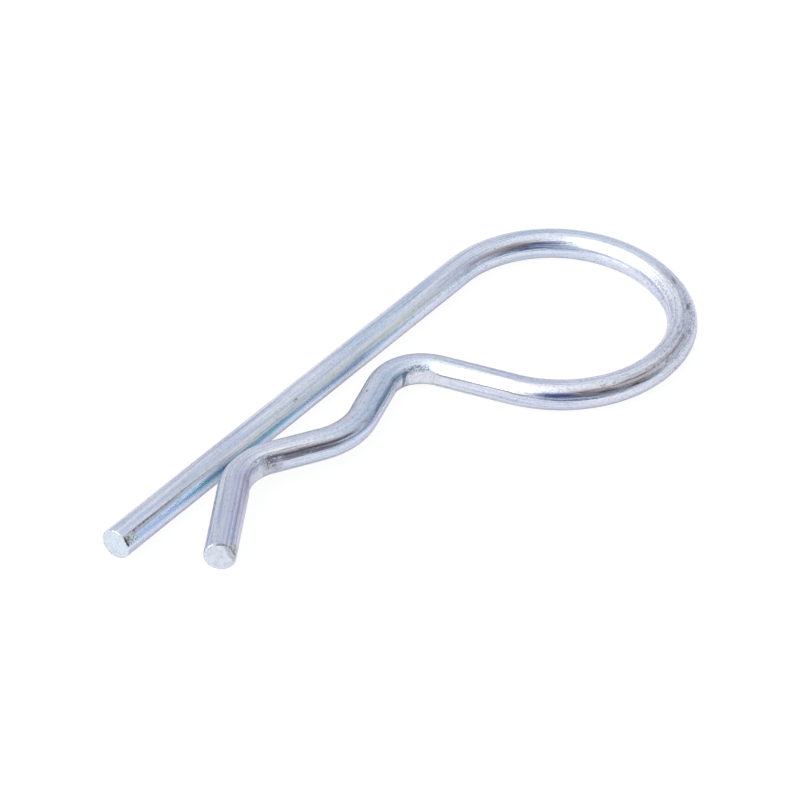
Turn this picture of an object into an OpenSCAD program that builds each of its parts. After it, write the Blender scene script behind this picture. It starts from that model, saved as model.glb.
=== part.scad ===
// Hitch R-clip: one length of round wire bent into a straight leg, an open
// loop and a waved spring leg. The straight leg goes through the cross hole
// of a shaft, and the belly of the waved leg snaps round the outside of it.
//
// The origin is on the straight leg's axis, where the axis of the gripped
// shaft crosses it. +X runs along the straight leg towards the loop, the
// waved leg lies on the -Y side and +Z is square to the clip. The clip lies
// on its loop and its straight leg, at z = -wire_d / 2.

/* [Wire] */
// Diameter of the wire
wire_d = 4; // [3:0.1:5]
// How much smaller the radius of the wire is in its bends
neck_down = 0.02; // [0.01:0.01:0.04]

/* [Straight leg] */
// Distance from the axis of the gripped shaft to the tip of the straight leg
tip_l = 33.2; // [26:0.1:42]

/* [Loop] */
// Centreline radius of the loop's shoulder, next to the straight leg
shoulder_r = 16.4; // [13:0.1:20]
// Angle that the shoulder turns through
shoulder_turn = 126; // [105:0.5:140]
// Centreline radius of the crown, at the far end of the loop
crown_r = 13.1; // [10:0.1:17]
// Angle that the crown turns through
crown_turn = 45; // [36:0.5:54]
// Centreline radius of the part that comes back to the waved leg
return_r = 17.1; // [13:0.1:21]
// Angle between the run down to the neck and a square across the straight leg
throat_lean = 18.5; // [10:0.5:25]

/* [Waved leg] */
// Diameter of the largest shaft that the belly takes without springing
shaft_d = 15; // [12.5:0.1:18]
// Clear gap between the neck and the straight leg
neck_gap = 2.5; // [1.5:0.1:3]
// Clear gap between the bump and the straight leg
bump_gap = 0.65; // [0.6:0.05:1]
// Height of the bump above the straight leg, which the waved leg climbs to
bump_rise = 1.35; // [1:0.05:1.7]
// Centreline radius of the neck
neck_r = 5.7; // [4.6:0.1:7]
// Centreline radius of the belly
belly_r = 9.4; // [7.5:0.1:11.5]
// Centreline radius of the bump
bump_r = 7.1; // [5.8:0.1:8.6]
// Slope of the run from the neck down to the belly
neck_slope = 19; // [17:0.5:23]
// Slope of the run from the belly up to the bump
bump_slope = 27.5; // [22:0.5:33]
// Slope of the tail, which opens away from the straight leg
tail_slope = 33.5; // [26:0.5:40]
// Straight run from the bump to the end of the waved leg
tail_l = 12.8; // [8:0.1:18]

/* [Tool marks] */
// Depth that the forming pins press into the neck and the bump
pin_mark = 0.3; // [0.1:0.05:0.5]
// Height of those marks across the wire
pin_mark_h = 2.6; // [2:0.1:3]
// Slope of the sheared face of the straight leg
leg_shear = 9; // [3:0.5:12]
// Slope of the sheared face of the waved leg
tail_shear = 4; // [2:0.5:10]
// Width of the edge that the shear rolls over
rolled_edge = 0.45; // [0.2:0.05:0.6]
// Depth of the flat that the shear pinches beside each end
pinch = 0.22; // [0.1:0.02:0.3]

/* [Hidden] */
$fn = 48;
wire_r = wire_d / 2;
bend_d = wire_d - 2 * neck_down;
// Each straight run reaches this far into the bends beside it
lap = 0.1;
// The shear comes in from above, on the waved leg's side
leg_shear_side = 145;
tail_shear_side = 155;

// How far a bend of radius r carries the wire along the straight leg and
// across it, as its heading turns to the right of +X from angle a to b
function along(r, a, b) = r * (sin(b) - sin(a));
function across(r, a, b) = r * (cos(b) - cos(a));

// Headings, as angles to the right of +X, at the end of each part
crown_h = shoulder_turn + crown_turn;
throat_h = 270 - throat_lean;
return_turn = throat_h - crown_h;
neck_h = 180 - neck_slope;
belly_h = 180 + bump_slope;
tail_h = 180 - tail_slope;

// Distances of the centreline from the straight leg's axis
neck_y = wire_d + neck_gap;
belly_y = shaft_d / 2 + wire_r;
bump_y = sqrt(pow(wire_d + bump_gap, 2) - pow(bump_rise, 2));
loop_end_y = -across(shoulder_r, 0, shoulder_turn) - across(crown_r, shoulder_turn, crown_h)
    - across(return_r, crown_h, throat_h);

// Each straight run is as long as the heights at its two ends need
loop_run = (loop_end_y - neck_y + across(neck_r, throat_h, 180)) / -sin(throat_h);
neck_run = (belly_y - neck_y - (neck_r + belly_r) * (1 - cos(neck_slope))) / sin(neck_slope);
belly_run = (belly_y - bump_y - (belly_r + bump_r) * (1 - cos(bump_slope))) / sin(bump_slope);

// The straight leg is long enough to bring the belly round to the origin
loop_end_x = along(shoulder_r, 0, shoulder_turn) + along(crown_r, shoulder_turn, crown_h)
    + along(return_r, crown_h, throat_h);
neck_end_x = loop_run * cos(throat_h) - along(neck_r, throat_h, neck_h);
belly_x = neck_run * cos(neck_h) + along(belly_r, neck_h, 180);
leg_l = tip_l - loop_end_x - neck_end_x - belly_x;

// The waved leg climbs about its run down to the neck. The top of the bump
// lies this far beside that run, seen square to the clip
bump_x = (neck_r + belly_r) * sin(neck_slope) + neck_run * cos(neck_slope)
    + (belly_r + bump_r) * sin(bump_slope) + belly_run * cos(bump_slope);
neck_top_reach = neck_r * (1 - cos(throat_h - 180));
bump_reach = neck_top_reach + bump_x * -sin(throat_h) + (neck_y - bump_y) * cos(throat_h);
climb = asin(bump_rise / bump_reach);

// A straight run of wire along +X, with what follows it at its far end
module run(l) {
    translate([-lap, 0, 0]) rotate([0, 90, 0]) cylinder(h = l + 2 * lap, d = wire_d);
    translate([l, 0, 0]) children();
}

// A bend in the plane of the clip, to the left of +X when a is positive,
// with what follows it at its far end
module bend(r, a) {
    side = sign(a);
    translate([0, side * r, 0]) {
        rotate([0, 0, -90 * side])
            rotate_extrude(angle = a) translate([r, 0]) circle(d = bend_d);
        rotate([0, 0, a]) translate([0, -side * r, 0]) children();
    }
}

// A bend between two others, which laps into both as a straight run does
module lapped_bend(r, a) {
    side = sign(a);
    lap_a = lap * 180 / (PI * r);
    translate([0, side * r, 0]) {
        rotate([0, 0, -90 * side])
            rotate_extrude(angle = a + 2 * side * lap_a, start = -side * lap_a)
                translate([r, 0]) circle(d = wire_d);
        rotate([0, 0, a]) translate([0, -side * r, 0]) children();
    }
}

// A bend to the left, marked on its inside by the pin it was formed round
module pinned_bend(r, a) {
    difference() {
        bend(r, a) children();
        translate([0, r, 0])
            cylinder(h = pin_mark_h, r = r - wire_r + pin_mark, center = true);
    }
}

// A wire end at x = 0 for a wire along +X: a rolled edge, then the face that
// the shear leaves, sloping back towards the side it came from, and a flat
// pinched into the wire on that side
module end_stub(l, slope, side) {
    rotate([side, 0, 0]) difference() {
        rotate([0, 90, 0]) union() {
            cylinder(h = rolled_edge, r1 = wire_r - rolled_edge / 2, r2 = wire_r);
            translate([0, 0, rolled_edge]) cylinder(h = l - rolled_edge, r = wire_r);
        }
        translate([0, -wire_r, 0]) rotate([0, 0, -slope])
            translate([-wire_d, -wire_r, -wire_d]) cube([wire_d, 3 * wire_d, 2 * wire_d]);
        translate([0, wire_r - pinch, 0]) rotate([0, 0, slope / 2 + 3])
            translate([-wire_d, 0, -wire_d]) cube([2 * wire_d, wire_d, 2 * wire_d]);
    }
}

// The straight leg, with what follows it at the start of the loop
module straight_leg() {
    end_stub(leg_l + lap, leg_shear, leg_shear_side);
    translate([leg_l, 0, 0]) children();
}

// The last run of the waved leg, which ends in a sheared face
module tail() {
    translate([tail_l, 0, 0]) rotate([0, 0, 180])
        end_stub(tail_l + lap, tail_shear, tail_shear_side);
}

module loop() {
    bend(shoulder_r, -shoulder_turn)
        lapped_bend(crown_r, -crown_turn)
            bend(return_r, -return_turn)
                children();
}

module waved_leg() {
    rotate([climb, 0, 0])
        run(loop_run)
            pinned_bend(neck_r, throat_h - neck_h)
                run(neck_run)
                    bend(belly_r, neck_h - belly_h)
                        run(belly_run)
                            pinned_bend(bump_r, belly_h - tail_h)
                                tail();
}

module clip() {
    color([0.78, 0.81, 0.86])
        translate([-tip_l, 0, 0])
            straight_leg() loop() waved_leg();
}

clip();
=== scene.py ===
"""Looks for a hitch R-clip: one bent, bright zinc plated wire on a pale floor.

The wire is swept along the same centreline as the CAD part, with the marks
that its making left. Every vertex keeps its place on the unbent wire, so the
material's streaks follow the bends.
"""

import math

import bpy
import numpy as np
from mathutils import Matrix, Vector


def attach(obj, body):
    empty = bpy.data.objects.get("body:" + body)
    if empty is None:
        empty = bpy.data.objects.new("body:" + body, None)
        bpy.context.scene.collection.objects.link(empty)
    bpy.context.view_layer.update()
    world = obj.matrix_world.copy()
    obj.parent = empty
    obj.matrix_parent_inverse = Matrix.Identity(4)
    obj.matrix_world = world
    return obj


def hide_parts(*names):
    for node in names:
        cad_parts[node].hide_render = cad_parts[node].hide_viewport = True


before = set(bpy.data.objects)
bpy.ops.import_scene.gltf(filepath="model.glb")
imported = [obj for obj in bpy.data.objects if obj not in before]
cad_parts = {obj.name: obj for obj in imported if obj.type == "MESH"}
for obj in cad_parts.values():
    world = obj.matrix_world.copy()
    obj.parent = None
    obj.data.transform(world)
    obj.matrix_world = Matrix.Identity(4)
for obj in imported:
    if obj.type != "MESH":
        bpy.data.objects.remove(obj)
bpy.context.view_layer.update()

MM = 0.001

# ---------------------------------------------------------------- dimensions
# The same values as the CAD part's, in millimetres and degrees
WIRE_R = 2.0
BEND_R = WIRE_R - 0.02
TIP_L = 33.2
SHOULDER_R = 16.4
SHOULDER_TURN = 126.0
CROWN_R = 13.1
CROWN_TURN = 45.0
RETURN_R = 17.1
THROAT_LEAN = 18.5
SHAFT_R = 7.5
NECK_GAP = 2.5
NECK_R = 5.7
NECK_SLOPE = 19.0
BELLY_R = 9.4
BUMP_GAP = 0.65
BUMP_RISE = 1.35
BUMP_R = 7.1
BUMP_SLOPE = 27.5
TAIL_SLOPE = 33.5
TAIL_L = 12.8
PIN_MARK = 0.3
LEG_SHEAR = 9.0
LEG_SHEAR_SIDE = 145.0
TAIL_SHEAR = 4.0
TAIL_SHEAR_SIDE = 155.0
ROLLED_EDGE = 0.45
PINCH = 0.22

# Looks only: the rings of vertices are close together at the marks and ends
STEP = 0.50
FINE_STEP = 0.11
BESIDE_MARK = 2.5
BESIDE_END = 4.0
AROUND = 128
CAP_RINGS = 14


def sind(angle):
    return math.sin(math.radians(angle))


def cosd(angle):
    return math.cos(math.radians(angle))


def along(radius, start, end):
    """How far a bend carries the wire along the straight leg, between two headings."""
    return radius * (sind(end) - sind(start))


def across(radius, start, end):
    """How far a bend carries the wire across the straight leg, between two headings."""
    return radius * (cosd(end) - cosd(start))


# Headings, as angles to the right of +X, at the end of each part
CROWN_H = SHOULDER_TURN + CROWN_TURN
THROAT_H = 270 - THROAT_LEAN
NECK_H = 180 - NECK_SLOPE
BELLY_H = 180 + BUMP_SLOPE
TAIL_H = 180 - TAIL_SLOPE

# Distances of the centreline from the straight leg's axis
NECK_Y = 2 * WIRE_R + NECK_GAP
BELLY_Y = SHAFT_R + WIRE_R
BUMP_Y = math.sqrt((2 * WIRE_R + BUMP_GAP) ** 2 - BUMP_RISE**2)
LOOP_END_Y = -(
    across(SHOULDER_R, 0, SHOULDER_TURN)
    + across(CROWN_R, SHOULDER_TURN, CROWN_H)
    + across(RETURN_R, CROWN_H, THROAT_H)
)

# Each straight run is as long as the heights at its two ends need
LOOP_RUN = (LOOP_END_Y - NECK_Y + across(NECK_R, THROAT_H, 180)) / -sind(THROAT_H)
NECK_DROP = (NECK_R + BELLY_R) * (1 - cosd(NECK_SLOPE))
NECK_RUN = (BELLY_Y - NECK_Y - NECK_DROP) / sind(NECK_SLOPE)
BUMP_DROP = (BELLY_R + BUMP_R) * (1 - cosd(BUMP_SLOPE))
BELLY_RUN = (BELLY_Y - BUMP_Y - BUMP_DROP) / sind(BUMP_SLOPE)
LEG_L = TIP_L - (
    along(SHOULDER_R, 0, SHOULDER_TURN)
    + along(CROWN_R, SHOULDER_TURN, CROWN_H)
    + along(RETURN_R, CROWN_H, THROAT_H)
    + LOOP_RUN * cosd(THROAT_H)
    - along(NECK_R, THROAT_H, NECK_H)
    + NECK_RUN * cosd(NECK_H)
    + along(BELLY_R, NECK_H, 180)
)

# The waved leg climbs just enough to lift its bump by BUMP_RISE
NECK_TO_BUMP = (
    (NECK_R + BELLY_R) * sind(NECK_SLOPE)
    + NECK_RUN * cosd(NECK_SLOPE)
    + (BELLY_R + BUMP_R) * sind(BUMP_SLOPE)
    + BELLY_RUN * cosd(BUMP_SLOPE)
)
BUMP_REACH = (
    NECK_R * (1 - cosd(THROAT_H - 180))
    - NECK_TO_BUMP * sind(THROAT_H)
    + (NECK_Y - BUMP_Y) * cosd(THROAT_H)
)
CLIMB = math.degrees(math.asin(BUMP_RISE / BUMP_REACH))


# ---------------------------------------------------------------- centreline
class Centreline:
    """The clip's centreline, as frames one after another along the wire.

    Each frame has +X along the wire, and s is its distance from the leg's cut.
    """

    def __init__(self):
        self.at = Matrix.Translation((-TIP_L, 0, 0))
        self.length = 0.0
        self.s = []
        self.frames = []
        self.radii = []

    def add(self, matrix, s, wire_r):
        self.frames.append([list(row) for row in matrix])
        self.s.append(s)
        self.radii.append(wire_r)

    def run(self, length, step):
        """A straight run of wire."""
        count = max(2, math.ceil(length / step))
        for index in range(count):
            gone = length * index / count
            self.add(self.at @ Matrix.Translation((gone, 0, 0)), self.length + gone, WIRE_R)
        self.at = self.at @ Matrix.Translation((length, 0, 0))
        self.length += length

    def bend(self, radius, turn, step):
        """A bend to the left, or to the right if turn is negative. Gives its middle's s."""
        side = 1 if turn > 0 else -1
        length = radius * math.radians(abs(turn))
        count = max(4, math.ceil(length / step))
        centre = self.at @ Matrix.Translation((0, side * radius, 0))
        out = Matrix.Translation((0, -side * radius, 0))
        for index in range(count):
            turned = Matrix.Rotation(math.radians(turn * index / count), 4, "Z")
            self.add(centre @ turned @ out, self.length + length * index / count, BEND_R)
        self.at = centre @ Matrix.Rotation(math.radians(turn), 4, "Z") @ out
        self.length += length
        return self.length - length / 2

    def twist(self, angle):
        """Turns what follows about the wire."""
        self.at = self.at @ Matrix.Rotation(math.radians(angle), 4, "X")

    def end(self):
        self.add(self.at, self.length, WIRE_R)


line = Centreline()
line.run(BESIDE_END, FINE_STEP)
line.run(LEG_L - BESIDE_END, STEP)
line.bend(SHOULDER_R, -SHOULDER_TURN, STEP)
line.bend(CROWN_R, -CROWN_TURN, STEP)
line.bend(RETURN_R, -(THROAT_H - CROWN_H), STEP)
line.twist(CLIMB)
line.run(LOOP_RUN - BESIDE_MARK, STEP)
line.run(BESIDE_MARK, FINE_STEP)
NECK_AT = line.bend(NECK_R, THROAT_H - NECK_H, FINE_STEP)
line.run(BESIDE_MARK, FINE_STEP)
line.run(NECK_RUN - BESIDE_MARK, STEP)
line.bend(BELLY_R, NECK_H - BELLY_H, STEP)
line.run(BELLY_RUN - BESIDE_MARK, STEP)
line.run(BESIDE_MARK, FINE_STEP)
BUMP_AT = line.bend(BUMP_R, BELLY_H - TAIL_H, FINE_STEP)
line.run(BESIDE_MARK, FINE_STEP)
line.run(TAIL_L - BESIDE_MARK - BESIDE_END, STEP)
line.run(BESIDE_END, FINE_STEP)
line.end()


# --------------------------------------------------------------------- noise
def smooth(x, start, end):
    """0 at start and 1 at end, with a soft step between; end may be the smaller."""
    t = np.clip((x - start) / (end - start), 0, 1)
    return t * t * (3 - 2 * t)


def hashed(cell, seed):
    """A fixed number from 0 to 1 for each whole number, in no order."""
    mixed = np.sin(cell * 12.9898 + seed * 78.233) * 43758.5453
    return mixed - np.floor(mixed)


def wander(t, seed, period=None):
    """Smooth noise from -1 to 1 along t, one value a unit, with an optional period."""
    cell = np.floor(t)
    part = smooth(t - cell, 0, 1)
    following = cell + 1
    if period:
        cell, following = np.mod(cell, period), np.mod(following, period)
    return 2 * (hashed(cell, seed) * (1 - part) + hashed(following, seed) * part) - 1


def patchy(s, turn, seed, cells):
    """Smooth noise over the surface: s in cells along the wire, turn in turns round it."""
    cell = np.floor(s)
    part = smooth(s - cell, 0, 1)
    low = wander(turn * cells, seed + 0.37 * cell, cells)
    high = wander(turn * cells, seed + 0.37 * (cell + 1), cells)
    return low * (1 - part) + high * part


def hump(x, middle, width):
    """1 at the middle, and close to 0 beyond twice the width."""
    return np.exp(-(((x - middle) / width) ** 2))


# ------------------------------------------------------------------- surface
# Drawing leaves the wire a few hundredths of a millimetre out of true, in long
# shallow flats that show in its reflections: depth, length, flats round it, seed
DRAWN_FLATS = ((0.006, 22, 7, 3.1), (0.0035, 9, 15, 8.4))
# Metal pressed this deep shows as fully crushed, under a pin and beside a cut
CRUSHED_BY_PIN = 0.14
CRUSHED_BY_CUT = 0.05
# A flat that is shallower than this keeps its smooth surface
ROUGH_FROM = 0.05
# How far along the wire the shear draws the metal, and how far that stays
# inside the CAD part's end
SHEAR_REACH = 3.4
END_CLEARANCE = 0.04


class Skin:
    """The wire's surface before it is bent, as rings of vertices in millimetres.

    x is how far a vertex is moved along the wire and y and z are across it, with
    +y on the inside of a bend to the left. crush is 1 where a tool pressed it.
    """

    def __init__(self):
        theta = np.arange(AROUND) * 2 * np.pi / AROUND
        self.s, angle = np.meshgrid(np.array(line.s), theta, indexing="ij")
        self.turn = angle / (2 * np.pi)
        radius = np.repeat(np.array(line.radii)[:, None], AROUND, axis=1)
        for depth, length, cells, seed in DRAWN_FLATS:
            radius = radius - depth * (1 + self.noise(length, cells, seed))
        self.x = np.zeros_like(radius)
        self.y = radius * np.cos(angle)
        self.z = radius * np.sin(angle)
        self.crush = np.zeros_like(radius)

    def noise(self, length, cells, seed):
        """Noise in patches of one length along the wire, and so many of them round it."""
        return patchy(self.s / length, self.turn, seed, cells)

    def press(self, depth):
        """Presses the inside of a bend flat, as deep as its forming pin went."""
        over = np.clip(self.y - (BEND_R - depth), 0, None)
        self.crush = np.maximum(self.crush, smooth(over, 0.0, CRUSHED_BY_PIN))
        self.y = self.y - over

    def mark_neck(self):
        """The neck's flat has chatter across it and ends in a step with a crease."""
        # All distances here are in millimetres past the middle of the bend
        past = self.s - NECK_AT
        depth = PIN_MARK * smooth(past, -7.6, -3.4) * smooth(past, 6.0, 3.6)
        depth = depth * (1 - 0.72 * smooth(past, 0.65, 1.15))
        chatter = 0.010 * np.sin(2 * np.pi * (self.s + 0.12 * self.z) / 0.52)
        chatter = chatter * (0.6 + 0.4 * self.noise(1.4, 20, 61))
        depth = depth + np.where(depth > ROUGH_FROM, chatter + 0.015 * self.noise(0.45, 40, 66), 0)
        leaning = past - 0.25 * (self.z - 0.6)
        self.press(depth + 0.20 * hump(leaning, 0.85, 0.20))

    def mark_bump(self):
        """The bump's pin bit in on the belly's side and scuffed the metal there."""
        past = self.s - BUMP_AT
        depth = (PIN_MARK - 0.02) * smooth(past, -4.4, -2.6) * smooth(past, 5.2, 1.6)
        grain = 0.018 * self.noise(0.6, 30, 73) * (depth > ROUGH_FROM)
        scuff = 0.07 * hump(past, -2.9, 0.9) * self.noise(0.30, 52, 71)
        self.press(depth + scuff + grain)

    def shear(self, from_end, inward, slope, side):
        """Shears one end off.

        from_end is each vertex's distance from that end, and inward is the way
        along the wire from it. The blade came in from the given side.
        """
        side_y, side_z = cosd(side), sind(side)
        toward = self.y * side_y + self.z * side_z
        set_back = (toward + WIRE_R) * math.tan(math.radians(slope))
        self.x = self.x + inward * (set_back + END_CLEARANCE) * smooth(from_end, SHEAR_REACH, 0)
        # The edge away from the blade's side is rolled over, the other stays sharp
        roll = ROLLED_EDGE * np.clip(0.55 - toward / (2 * WIRE_R), 0.12, 1)
        rolled = np.clip(1 - ((roll - from_end) / roll) ** 2, 0, 1)
        shrink = np.where(from_end < roll, roll * (1 - np.sqrt(rolled)), 0)
        self.y = self.y * (1 - shrink / WIRE_R)
        self.z = self.z * (1 - shrink / WIRE_R)
        # The pinched flat beside the cut runs out along the wire
        run_out = math.tan(math.radians(slope / 2 + 3))
        limit = WIRE_R - PINCH + (from_end + set_back) * run_out
        limit = limit + 0.03 * self.noise(0.5, 30, 44 + side)
        over = np.clip(self.y * side_y + self.z * side_z - limit, 0, None)
        self.y = self.y - over * side_y
        self.z = self.z - over * side_z
        self.crush = np.maximum(self.crush, smooth(over, 0.0, CRUSHED_BY_CUT))


skin = Skin()
skin.mark_neck()
skin.mark_bump()
skin.shear(skin.s, 1, LEG_SHEAR, LEG_SHEAR_SIDE)
# The frames run towards the tail's cut, so its side is seen mirrored
skin.shear(line.length - skin.s, -1, TAIL_SHEAR, 180 - TAIL_SHEAR_SIDE)


# ---------------------------------------------------------------------- mesh
class Shell:
    """Collects the clip's vertices, their attributes and the faces between them."""

    def __init__(self):
        self.places = []
        self.unbent = []
        self.crush = []
        self.from_cut = []
        self.faces = []
        self.count = 0

    def add(self, places, unbent, crush, from_cut):
        """Adds vertices and gives their numbers."""
        self.places.append(places.reshape(-1, 3))
        self.unbent.append(unbent.reshape(-1, 3))
        self.crush.append(crush.reshape(-1))
        self.from_cut.append(from_cut.reshape(-1))
        added = self.crush[-1].size
        self.count += added
        return np.arange(self.count - added, self.count)

    def join(self, *corners):
        self.faces.append(np.stack(corners, axis=-1).reshape(-1, len(corners)))


def bent_tube(shell, local):
    """The wire's side: every ring placed on its frame and joined to the next."""
    placed = np.einsum("nij,nkj->nki", np.array(line.frames), local)[..., :3]
    unbent = np.stack([skin.y, skin.z, skin.s + skin.x], axis=-1)
    from_cut = np.minimum(skin.s, line.length - skin.s)
    numbers = shell.add(placed, unbent, skin.crush, from_cut).reshape(skin.s.shape)
    beside = np.roll(numbers, -1, axis=1)
    shell.join(beside[:-1], beside[1:], numbers[1:], numbers[:-1])
    return numbers


def sheared_face(shell, local, numbers, ring, seed):
    """Closes one end with rings that shrink to its middle, a little uneven."""
    at_leg = ring == 0
    turn = np.arange(AROUND) / AROUND
    middle = local[ring].mean(axis=0)
    outer = numbers[ring]
    for step in range(1, CAP_RINGS + 1):
        points = middle + (local[ring] - middle) * (1 - step / CAP_RINGS)
        rough = 0.02 * wander(turn * 9 + step * 1.7, seed)
        rough = rough + 0.03 * wander(points[:, 1] * 1.3 + points[:, 2] * 0.9 + 7, seed)
        points[:, 0] = points[:, 0] + rough * smooth(float(step), 0, 3)
        if step == CAP_RINGS:
            points = points.mean(axis=0, keepdims=True)
        placed = (np.array(line.frames[ring]) @ points.T).T[:, :3]
        unbent = np.stack([points[:, 1], points[:, 2], points[:, 0] + line.s[ring]], axis=-1)
        cut_face = np.full(len(points), -1.0)
        inner = shell.add(placed, unbent, cut_face, np.zeros(len(points)))
        beside = np.roll(outer, -1)
        if step == CAP_RINGS:
            tip = np.full(AROUND, inner[0])
            shell.join(*((tip, beside, outer) if at_leg else (beside, tip, outer)))
        else:
            inner_beside = np.roll(inner, -1)
            if at_leg:
                shell.join(inner, inner_beside, beside, outer)
            else:
                shell.join(beside, inner_beside, inner, outer)
            outer = inner


def clip_mesh():
    shell = Shell()
    local = np.stack([skin.x, skin.y, skin.z, np.ones_like(skin.x)], axis=-1)
    numbers = bent_tube(shell, local)
    sheared_face(shell, local, numbers, 0, 51.0)
    sheared_face(shell, local, numbers, len(line.s) - 1, 57.0)
    mesh = bpy.data.meshes.new("zinc_wire_clip")
    places = np.concatenate(shell.places) * MM
    mesh.from_pydata(places.tolist(), [], [face for block in shell.faces for face in block.tolist()])
    mesh.update()
    unbent = mesh.attributes.new("unbent", "FLOAT_VECTOR", "POINT")
    unbent.data.foreach_set("vector", np.concatenate(shell.unbent).astype(np.float32).ravel())
    for name, values in (("crush", shell.crush), ("from_cut", shell.from_cut)):
        attribute = mesh.attributes.new(name, "FLOAT", "POINT")
        attribute.data.foreach_set("value", np.concatenate(values).astype(np.float32))
    mesh.shade_smooth()
    mesh.set_sharp_from_angle(angle=math.radians(40))
    return mesh


# --------------------------------------------------------------------- nodes
class Nodes:
    """Short calls for building a node tree."""

    def __init__(self, tree):
        self.tree = tree
        tree.nodes.clear()

    def new(self, kind, **values):
        node = self.tree.nodes.new(kind)
        for name, value in values.items():
            setattr(node, name, value)
        return node

    def link(self, output, socket):
        self.tree.links.new(output, socket)

    def put(self, socket, value):
        """Gives a socket a link, a number or a colour."""
        if isinstance(value, bpy.types.NodeSocket):
            self.link(value, socket)
        elif isinstance(value, tuple):
            socket.default_value = (*value, 1)
        else:
            socket.default_value = value

    def math(self, operation, *values):
        node = self.new("ShaderNodeMath", operation=operation)
        for socket, value in zip(node.inputs, values):
            self.put(socket, value)
        return node.outputs[0]

    def times(self, first, *others):
        for other in others:
            first = self.math("MULTIPLY", first, other)
        return first

    def plus(self, first, *others):
        for other in others:
            first = self.math("ADD", first, other)
        return first

    def minus(self, a, b):
        return self.math("SUBTRACT", a, b)

    def most(self, a, b):
        return self.math("MAXIMUM", a, b)

    def between(self, value, low, high, to_low=0.0, to_high=1.0):
        """Maps low to to_low and high to to_high, and goes no further."""
        node = self.new("ShaderNodeMapRange", clamp=True)
        for socket, number in zip(node.inputs, (value, low, high, to_low, to_high)):
            self.put(socket, number)
        return node.outputs[0]

    def ramp(self, value, stops):
        node = self.new("ShaderNodeValToRGB")
        self.link(value, node.inputs[0])
        elements = node.color_ramp.elements
        while len(elements) < len(stops):
            elements.new(0.5)
        for element, (position, colour) in zip(elements, stops):
            element.position = position
            element.color = (*colour, 1)
        return node.outputs[0]

    def mix(self, factor, a, b, blend="MIX"):
        node = self.new("ShaderNodeMix", data_type="RGBA", blend_type=blend)
        for name, value in (("Factor_Float", factor), ("A_Color", a), ("B_Color", b)):
            socket = next(entry for entry in node.inputs if entry.identifier == name)
            self.put(socket, value)
        return node.outputs[2]


class WireNodes(Nodes):
    """Nodes that know where on the unbent wire a point is.

    place is its distance from the leg's cut in millimetres, and turned is its
    angle round the wire in degrees, where 0 is the inside of a bend to the left.
    """

    def __init__(self, tree):
        super().__init__(tree)
        self.where = self.attribute("unbent", "Vector")
        self.cut = self.attribute("from_cut", "Fac")
        crush = self.attribute("crush", "Fac")
        self.pressed = self.between(crush, 0.1, 0.8)
        self.crushed = self.between(crush, 0.15, 0.6)
        self.face = self.between(crush, -0.2, -0.8)
        split = self.new("ShaderNodeSeparateXYZ")
        self.link(self.where, split.inputs[0])
        self.y, self.z, self.place = split.outputs
        # Streaks sway a little as they run along the wire
        sway = self.noise((0.0, 0.0, 0.10), 3.0, 0.5, 5.5)
        angle = self.times(self.math("ARCTAN2", self.z, self.y), 180 / math.pi)
        self.turned = self.plus(angle, self.times(self.minus(sway, 0.5), 5.0))
        # Scales are across the wire twice, then along it
        self.broad = self.noise((0.50, 0.50, 0.030), 2.0, 0.5, 1.3)
        self.streak = self.noise((2.6, 2.6, 0.07), 3.0, 0.6, 4.1)
        self.fine = self.noise((7.0, 7.0, 0.16), 3.0, 0.6, 7.7)
        self.mottle = self.noise((1.6, 1.6, 0.9), 4.0, 0.6, 2.2)
        self.grain = self.noise((5.5, 5.5, 4.0), 3.0, 0.6, 3.9)

    def attribute(self, name, output):
        return self.new("ShaderNodeAttribute", attribute_name=name).outputs[output]

    def noise(self, scales, detail, rough, seed):
        """Noise on the unbent wire, stretched to reach from 0 to 1."""
        scaled = self.new("ShaderNodeVectorMath", operation="MULTIPLY")
        self.link(self.where, scaled.inputs[0])
        scaled.inputs[1].default_value = scales
        node = self.new("ShaderNodeTexNoise", noise_dimensions="4D")
        self.link(scaled.outputs[0], node.inputs["Vector"])
        for name, value in (("W", seed), ("Scale", 1.0), ("Detail", detail), ("Roughness", rough)):
            node.inputs[name].default_value = value
        return self.between(node.outputs["Fac"], 0.3, 0.7)

    def window(self, start, end, fade):
        """1 along the wire from start to end, and 0 further than fade outside."""
        rise = self.between(self.place, start - fade, start)
        return self.times(rise, self.between(self.place, end + fade, end))

    def sector(self, low, high, fade_low, fade_high):
        """1 round the wire from low to high, and 0 beyond the two fades."""
        rise = self.between(self.turned, low - fade_low, low)
        return self.times(rise, self.between(self.turned, high + fade_high, high))

    def around(self, angle, half, soft):
        """1 within half of an angle round the wire, and 0 further than soft outside."""
        off = self.math("ABSOLUTE", self.minus(self.turned, angle))
        return self.between(off, half + soft, half)

    def band(self, angle, half, soft, start, end, fade):
        """A broken streak that follows the wire at one angle round it."""
        broken = self.between(self.streak, 0.25, 0.5, 0.35, 1.0)
        return self.times(self.around(angle, half, soft), self.window(start, end, fade), broken)

    def spot(self, angle, half, start, end, fade, low):
        """Broken spots in one small area, fewer as low rises."""
        area = self.times(self.around(angle, half, 5), self.window(start, end, fade))
        return self.times(area, self.between(self.grain, low, low + 0.07))


# ---------------------------------------------------------------------- zinc
BROWN = (0.085, 0.055, 0.045)
# Brown and near black, for dirt and for painted reflections of the dim room
BROWN_DIRT_AND_REFLECTION = (0.17, 0.085, 0.06)
DARK_DIRT_AND_REFLECTION = (0.045, 0.028, 0.028)
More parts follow.
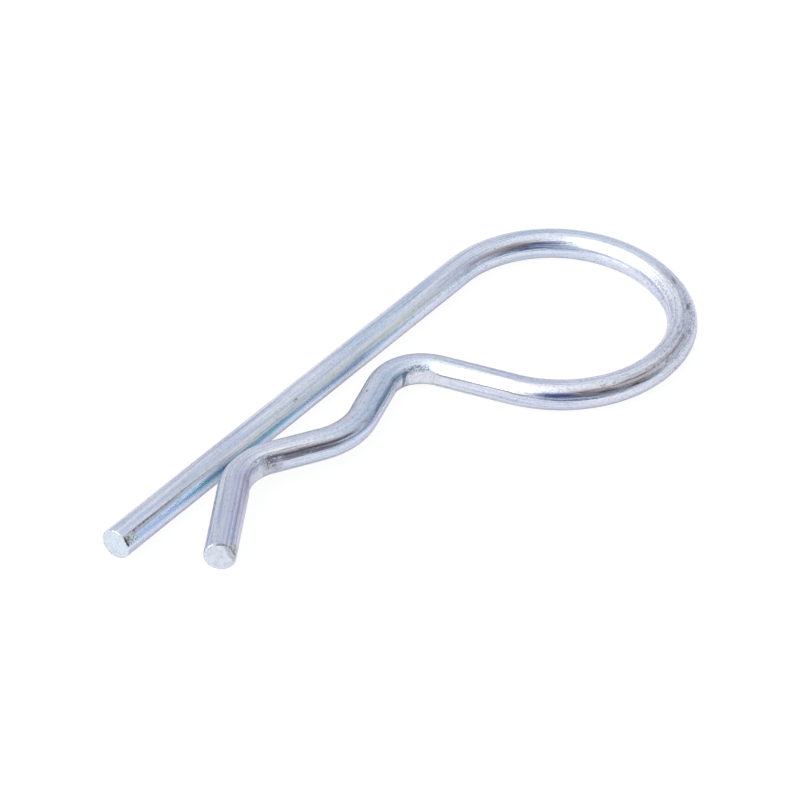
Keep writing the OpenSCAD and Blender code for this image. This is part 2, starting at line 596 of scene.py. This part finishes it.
# Angle, half width, soft edge, start, end, fade, colour and strength of the
# films in the plating that stand out, and of painted reflections of the dark
# room and of the waved leg laid on as colour. Lengths are in millimetres from
# the leg's cut, and angles in degrees round the wire
FILMS_AND_PAINTED_REFLECTIONS = (
    (161, 7, 9, 4, 50, 7, (0.36, 0.53, 0.70), 0.75),
    (104, 3, 8, 3, 22, 7, (0.38, 0.50, 0.72), 0.6),
    (148, 8, 8, 2, 16, 5, (0.52, 0.67, 0.86), 0.7),
    # Teal film, and a painted reflection of the waved leg's bump beside it
    (158, 8, 9, 14, 28, 5, (0.26, 0.64, 0.72), 0.75),
    (140, 6, 10, 18, 58, 8, (0.78, 0.82, 0.66), 0.55),
    (116, 2, 5, 14, 44, 9, (0.46, 0.46, 0.50), 0.5),
    (176, 6, 9, 0, 60, 5, (0.68, 0.76, 0.94), 0.6),
    (83, 4, 12, 184, 198, 4, (0.46, 0.47, 0.64), 0.5),
    (66, 2, 5, 185, 197, 4, (0.38, 0.38, 0.62), 0.65),
    (49, 2, 5, 184, 197, 3, (0.42, 0.29, 0.42), 0.75),
    # Painted reflection of the dark navy room, as a navy block
    (39, 5, 5, 130.5, 133.2, 1.4, (0.12, 0.16, 0.38), 0.85),
    # Painted reflection: the dark line under the softbox's highlight
    (24, 1.5, 2, 136, 147, 2, (0.22, 0.23, 0.32), 0.8),
    # Painted reflection of the dark room, as a navy line before the bump
    (27, 3, 3, 165, 172, 2, (0.14, 0.16, 0.30), 0.7),
    (28, 2, 4, 182, 197, 3, (0.30, 0.26, 0.40), 0.6),
    (10, 8, 12, 178, 198, 3, (0.82, 0.68, 0.80), 0.6),
    (38, 3, 7, 154, 162, 2, (0.18, 0.31, 0.40), 0.75),
)
# The same for threads that are partly dirt and partly painted reflections of the room's brown and dark
# bands, but last how much shows between the threads
DIRT_AND_REFLECTION_THREADS = (
    (134, 4, 6, 69, 77, 3, BROWN_DIRT_AND_REFLECTION, 0.65),
    (84, 8, 12, 101, 112, 4, BROWN_DIRT_AND_REFLECTION, 0.0),
    (63, 5, 9, 112, 122, 3, BROWN_DIRT_AND_REFLECTION, 0.35),
    (50, 5, 8, 121, 129, 3, BROWN_DIRT_AND_REFLECTION, 0.35),
    (35, 5, 5, 119, 130, 2, DARK_DIRT_AND_REFLECTION, 0.6),
    (50, 6, 7, 166, 178, 3, BROWN_DIRT_AND_REFLECTION, 0.1),
    (43, 3, 4, 168, 178, 2, DARK_DIRT_AND_REFLECTION, 0.75),
    (27, 4, 6, 170, 178, 2, BROWN_DIRT_AND_REFLECTION, 0.0),
)
# Angle, half width, start, end, fade and threshold of dark spots and pits
SPOTS = (
    (38, 3, NECK_AT - 2.4, NECK_AT + 0.4, 0.4, 0.50),
    (50, 2, NECK_AT - 1.8, NECK_AT - 0.5, 0.4, 0.42),
    (22, 2, NECK_AT - 0.6, NECK_AT + 0.2, 0.4, 0.50),
    (40, 5, BUMP_AT - 4.0, BUMP_AT - 2.6, 0.5, 0.46),
    (14, 18, BUMP_AT - 3.7, BUMP_AT - 2.3, 0.3, 0.52),
    (10, 14, BUMP_AT - 2.2, BUMP_AT + 0.5, 0.8, 0.72),
    (12, 16, NECK_AT - 3.0, NECK_AT + 0.4, 0.8, 0.78),
    (108, 2, 160.1, 160.4, 0.25, 0.1),
    (122, 2, 32.3, 32.7, 0.3, 0.36),
    (70, 5, 106.2, 106.8, 0.4, 0.25),
    (52, 4, BUMP_AT - 3.0, BUMP_AT - 0.4, 0.8, 0.60),
)


def zinc_films_and_reflections(n):
    """Bright zinc carries thin films of lilac, blue and faint yellow, with painted reflections of the dark
    room and the waved leg laid on as colour.
    """
    tint = n.ramp(n.broad, [
        (0.18, (0.54, 0.66, 0.80)), (0.38, (0.68, 0.73, 0.86)), (0.52, (0.72, 0.76, 0.80)),
        (0.68, (0.72, 0.69, 0.84)), (0.86, (0.70, 0.75, 0.72)),
    ])
    stripe = n.ramp(n.streak, [
        (0.15, (0.40, 0.47, 0.62)), (0.38, (0.66, 0.71, 0.82)), (0.60, (0.80, 0.83, 0.88)),
        (0.85, (0.94, 0.94, 0.94)),
    ])
    dust = n.ramp(n.noise((4.2, 4.2, 3.2), 4.0, 0.75, 12.2), [
        (0.1, (0.74, 0.74, 0.75)), (0.55, (0.98, 0.98, 0.97)), (0.9, (1.0, 1.0, 1.0)),
    ])
    colour = n.mix(1.0, n.mix(0.6, tint, stripe), dust, "MULTIPLY")
    # The films, and the painted reflections laid on as colour
    for *band, film_and_reflection, strength in FILMS_AND_PAINTED_REFLECTIONS:
        colour = n.mix(n.times(n.band(*band), strength), colour, film_and_reflection)
    return colour


def add_dirt_and_reflections(n, colour, cracked):
    """Brown dirt sits in the leg's seam and in specks; the threads along the wire are partly dirt and
    partly painted reflections of the room's brown and dark bands.
    """
    seam = n.times(n.band(128, 1.0, 6.5, 1, 8, 14), n.between(n.grain, 0.15, 0.6, 0.45, 0.95))
    colour = n.mix(seam, colour, BROWN)
    dirt_and_reflection = seam
    thread = n.between(n.noise((3.4, 3.4, 0.22), 4.0, 0.7, 6.6), 0.44, 0.72)
    # Threads, partly dirt and partly a painted reflection of the room's brown and dark bands
    for *band, paint, least in DIRT_AND_REFLECTION_THREADS:
        mask = n.times(n.band(*band), n.most(thread, least), 0.95)
        colour = n.mix(mask, colour, paint)
        dirt_and_reflection = n.most(dirt_and_reflection, mask)
    dirty = n.times(n.window(108, 127, 4), n.sector(45, 80, 15, 20))
    speck = n.plus(n.noise((2.9, 2.9, 1.7), 5.0, 0.7, 9.4), n.times(n.plus(cracked, dirty), 0.13))
    speck = n.times(n.between(speck, 0.80, 0.92), 0.6)
    colour = n.mix(speck, colour, (0.19, 0.145, 0.135))
    return colour, n.most(dirt_and_reflection, speck)


def add_pin_marks(n, colour, dirt_and_reflection):
    """Pressed flats are pale, with dark spots, a wedge at the neck and scuffs at the bump."""
    flat = n.ramp(n.grain, [(0.15, (0.60, 0.64, 0.69)), (0.5, (0.93, 0.94, 0.95))])
    colour = n.mix(n.times(n.pressed, 0.75), colour, flat)
    for spot in SPOTS:
        mask = n.times(n.spot(*spot), 0.75)
        colour = n.mix(mask, colour, (0.08, 0.065, 0.06))
        dirt_and_reflection = n.most(dirt_and_reflection, mask)
    leaning = n.plus(n.place, n.times(n.turned, 0.024))
    wedge = n.times(n.between(leaning, NECK_AT + 1.0, NECK_AT + 1.4), n.window(NECK_AT, NECK_AT + 1.7, 0.5))
    wedge = n.times(wedge, n.between(n.turned, 42, 33), n.between(n.mottle, 0.0, 0.6, 0.5, 1.0))
    colour = n.mix(n.times(wedge, 0.9), colour, (0.085, 0.15, 0.20))
    # The scuffs run slantwise across the wire, where it slid round the pin
    slant = n.plus(n.turned, n.times(n.minus(n.place, BUMP_AT), 9.0))
    ridge = n.math("SINE", n.plus(n.times(slant, 0.55), n.times(n.mottle, 4.0)))
    ridge = n.times(n.between(ridge, 0.35, 0.9), n.window(BUMP_AT - 2.6, BUMP_AT + 0.6, 0.8))
    ridge = n.times(ridge, n.sector(14, 52, 10, 12), n.grain, 0.8)
    return n.mix(ridge, colour, (0.16, 0.17, 0.22)), dirt_and_reflection


def add_cuts(n, colour, dirt_and_reflection):
    """Beside each cut the metal is torn and its creases get painted shade, brown at the leg and grey at the
    tail; the faces are pale.
    """
    at_leg = n.between(n.place, 20, 19)
    at_tail = n.between(n.place, 100, 101)
    beside = n.times(n.sector(128, 158, 6, 14), n.between(n.cut, 3.0, 1.6), at_leg)
    beside = n.times(beside, n.between(n.grain, 0.1, 0.5, 0.4, 0.9))
    torn = n.most(n.times(n.pressed, n.between(n.cut, 2.2, 1.4)), beside)
    colour = n.mix(torn, colour, n.ramp(n.grain, [
        (0.25, (0.74, 0.79, 0.74)), (0.5, (0.56, 0.62, 0.58)), (0.75, (0.20, 0.21, 0.20)),
    ]))
    # Painted shade in the creases beside the cuts
    crease_shade = n.times(n.between(n.cut, 0.42, 0.16), n.crushed)
    colour = n.mix(n.times(crease_shade, n.minus(1.0, at_tail), 0.9), colour, BROWN)
    colour = n.mix(n.times(crease_shade, at_tail, 0.6), colour, (0.24, 0.22, 0.24))
    rim = n.times(n.between(n.cut, 0.30, 0.12), n.sector(24, 96, 16, 16), at_tail)
    rim = n.times(rim, n.between(n.grain, 0.25, 0.65, 0.1, 0.75))
    colour = n.mix(rim, colour, (0.12, 0.08, 0.07))
    dirt_and_reflection = n.times(n.most(dirt_and_reflection, rim), n.minus(1.0, n.face))
    leg_face = n.ramp(n.mottle, [(0.2, (0.64, 0.71, 0.76)), (0.7, (0.72, 0.78, 0.82))])
    tail_face = n.ramp(n.mottle, [(0.2, (0.66, 0.70, 0.74)), (0.7, (0.76, 0.80, 0.83))])
    # One side of the tail's face is darker and broken, where the wire tore off
    side = n.plus(n.times(n.y, cosd(25)), n.times(n.z, sind(25)), n.times(n.mottle, 0.5))
    broken = n.times(n.between(side, 1.25, 1.5), n.between(n.grain, 0.2, 0.7, 0.35, 1.0), 0.75)
    tail_face = n.mix(broken, tail_face, (0.33, 0.36, 0.40))
    return n.mix(n.face, colour, n.mix(at_tail, leg_face, tail_face)), dirt_and_reflection


def relief(n, cracked):
    """Height in millimetres: drawn streaks everywhere, rougher where the metal was worked."""
    neck = n.times(n.window(NECK_AT - 2.6, NECK_AT + 0.6, 0.8), n.sector(30, 56, 8, 10))
    bump = n.times(n.window(BUMP_AT - 4.4, BUMP_AT - 1.6, 0.7), n.between(n.turned, 62, 52))
    rougher = n.plus(n.times(n.pressed, 0.9), n.times(cracked, 1.6), n.times(n.most(neck, bump), 5.0))
    return n.plus(
        n.times(n.streak, 0.034),
        n.times(n.fine, 0.010),
        n.times(n.mottle, 0.022, n.plus(cracked, 0.25)),
        n.times(n.grain, 0.016, n.plus(rougher, 0.45)),
    )


def bright_zinc():
    material = bpy.data.materials.new("bright_zinc")
    material.use_nodes = True
    n = WireNodes(material.node_tree)
    # The plating is cracked where the crown was bent the hardest
    cracked = n.window(102, 117, 4)
    colour, dirt_and_reflection = add_dirt_and_reflections(n, zinc_films_and_reflections(n), cracked)
    colour, dirt_and_reflection = add_pin_marks(n, colour, dirt_and_reflection)
    colour, dirt_and_reflection = add_cuts(n, colour, dirt_and_reflection)
    dull = n.plus(n.times(n.pressed, 0.12), n.times(n.face, 0.25))
    bump = n.new("ShaderNodeBump")
    bump.inputs["Strength"].default_value = 1.0
    bump.inputs["Distance"].default_value = MM
    n.link(relief(n, cracked), bump.inputs["Height"])
    shader = n.new("ShaderNodeBsdfPrincipled")
    n.link(colour, shader.inputs["Base Color"])
    # Dirt, and the painted reflection threads carried with it, are not metal
    n.link(n.between(dirt_and_reflection, 0.0, 1.0, 1.0, 0.15), shader.inputs["Metallic"])
    n.link(n.plus(n.between(n.streak, 0.1, 0.9, 0.20, 0.31), dull), shader.inputs["Roughness"])
    n.link(bump.outputs[0], shader.inputs["Normal"])
    shader.inputs["Specular Tint"].default_value = (1.0, 0.94, 1.0, 1)
    n.link(shader.outputs[0], n.new("ShaderNodeOutputMaterial").inputs[0])
    return material


def add_object(name, mesh, material):
    mesh.materials.append(material)
    added = bpy.data.objects.new(name, mesh)
    bpy.context.scene.collection.objects.link(added)
    return added


clip = add_object("zinc_wire_clip", clip_mesh(), bright_zinc())
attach(clip, "root")
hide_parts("clip")

# --------------------------------------------------------------------- stage
FLOOR_HALF = 1.5
# Shares of plain white light in the floor, for other rays and for the camera
FLOOR_GLOW = 0.22
FLOOR_BURNT = 0.9


def pale_floor():
    """Paper that is lit almost to white, as in a product picture."""
    material = bpy.data.materials.new("pale_floor")
    material.use_nodes = True
    n = Nodes(material.node_tree)
    paper = n.new("ShaderNodeBsdfPrincipled")
    paper.inputs["Base Color"].default_value = (0.86, 0.87, 0.90, 1)
    paper.inputs["Roughness"].default_value = 0.9
    paper.inputs["Specular IOR Level"].default_value = 0.0
    white = n.new("ShaderNodeEmission")
    white.inputs["Color"].default_value = (1, 1, 1, 1)
    white.inputs["Strength"].default_value = 1.04
    seen = n.new("ShaderNodeLightPath").outputs["Is Camera Ray"]
    mixed = n.new("ShaderNodeMixShader")
    n.link(n.between(seen, 0, 1, FLOOR_GLOW, FLOOR_BURNT), mixed.inputs[0])
    n.link(paper.outputs[0], mixed.inputs[1])
    n.link(white.outputs[0], mixed.inputs[2])
    n.link(mixed.outputs[0], n.new("ShaderNodeOutputMaterial").inputs[0])
    return material


floor_mesh = bpy.data.meshes.new("floor")
corners = [(-1, -1), (1, -1), (1, 1), (-1, 1)]
floor_points = [(x * FLOOR_HALF, y * FLOOR_HALF, -WIRE_R * MM) for x, y in corners]
floor_mesh.from_pydata(floor_points, [], [(0, 1, 2, 3)])
floor = add_object("floor", floor_mesh, pale_floor())

# -------------------------------------------------------------------- camera
CAM_AZ = -141.796
CAM_EL = 41.77
CAM_ROLL = 0.816
CAM_DIST = 0.37881
CAM_TARGET = Vector((0.00908, -0.01009, 0.0))


def direction_of(az, el):
    return Vector((cosd(el) * cosd(az), cosd(el) * sind(az), sind(el)))


back = direction_of(CAM_AZ, CAM_EL)
right = Vector((0, 0, 1)).cross(back).normalized()
up = back.cross(right)
rolled_right = cosd(CAM_ROLL) * right + sind(CAM_ROLL) * up
rolled_up = -sind(CAM_ROLL) * right + cosd(CAM_ROLL) * up
cam_data = bpy.data.cameras.new("camera")
cam_data.lens = 135.0
cam_data.sensor_width = 36.0
cam_data.clip_start = 0.01
camera = bpy.data.objects.new("camera", cam_data)
stand = Matrix((rolled_right, rolled_up, back)).transposed().to_4x4()
stand.translation = CAM_TARGET + CAM_DIST * back
camera.matrix_world = stand
bpy.context.scene.collection.objects.link(camera)
bpy.context.scene.camera = camera

# --------------------------------------------------------------------- light
world = bpy.data.worlds.new("soft_studio")
bpy.context.scene.world = world
world.use_nodes = True
w = Nodes(world.node_tree)
view = w.new("ShaderNodeTexCoord").outputs["Generated"]
split_view = w.new("ShaderNodeSeparateXYZ")
w.link(view, split_view.inputs[0])
height = split_view.outputs[2]


def patch_of(az, el, inner, outer):
    """1 within inner degrees of a direction, 0 outside outer degrees."""
    dot = w.new("ShaderNodeVectorMath", operation="DOT_PRODUCT")
    w.link(view, dot.inputs[0])
    dot.inputs[1].default_value = direction_of(az, el)
    return w.between(dot.outputs["Value"], cosd(outer), cosd(inner))


# The room is dim beside the camera, navy low down and brown above that, and
# a big softbox hangs on the camera's other side
dome = w.ramp(height, [
    (0.0, (0.66, 0.70, 0.79)), (0.45, (0.70, 0.74, 0.82)), (0.80, (0.82, 0.85, 0.92)),
    (1.0, (1.05, 1.07, 1.10)),
])
dim = w.ramp(height, [
    (0.02, (0.12, 0.15, 0.24)), (0.12, (0.012, 0.022, 0.085)), (0.30, (0.03, 0.045, 0.11)),
    (0.42, (0.34, 0.31, 0.31)), (0.56, (0.10, 0.05, 0.04)), (0.74, (0.30, 0.26, 0.25)),
])
for *patch, light in (
    (150, 60, 22, 58, (1.15, 1.15, 1.17)),
    (-114, 24, 18, 42, dim),
    (-133, 26, 15, 26, (0.035, 0.065, 0.24)),
    (-32, 2, 6, 24, (0.20, 0.27, 0.36)),
    (152, 45, 18, 39, (3.2, 3.2, 3.2)),
):
    dome = w.mix(patch_of(*patch), dome, light)
# The camera itself sees plain white behind the floor
dome = w.mix(w.new("ShaderNodeLightPath").outputs["Is Camera Ray"], dome, (1.0, 1.0, 1.0))
sky = w.new("ShaderNodeBackground")
w.link(dome, sky.inputs[0])
sky.inputs[1].default_value = 1.0
w.link(sky.outputs[0], w.new("ShaderNodeOutputWorld").inputs[0])

bpy.context.scene.view_settings.view_transform = "Standard"
bpy.context.scene.view_settings.look = "None"
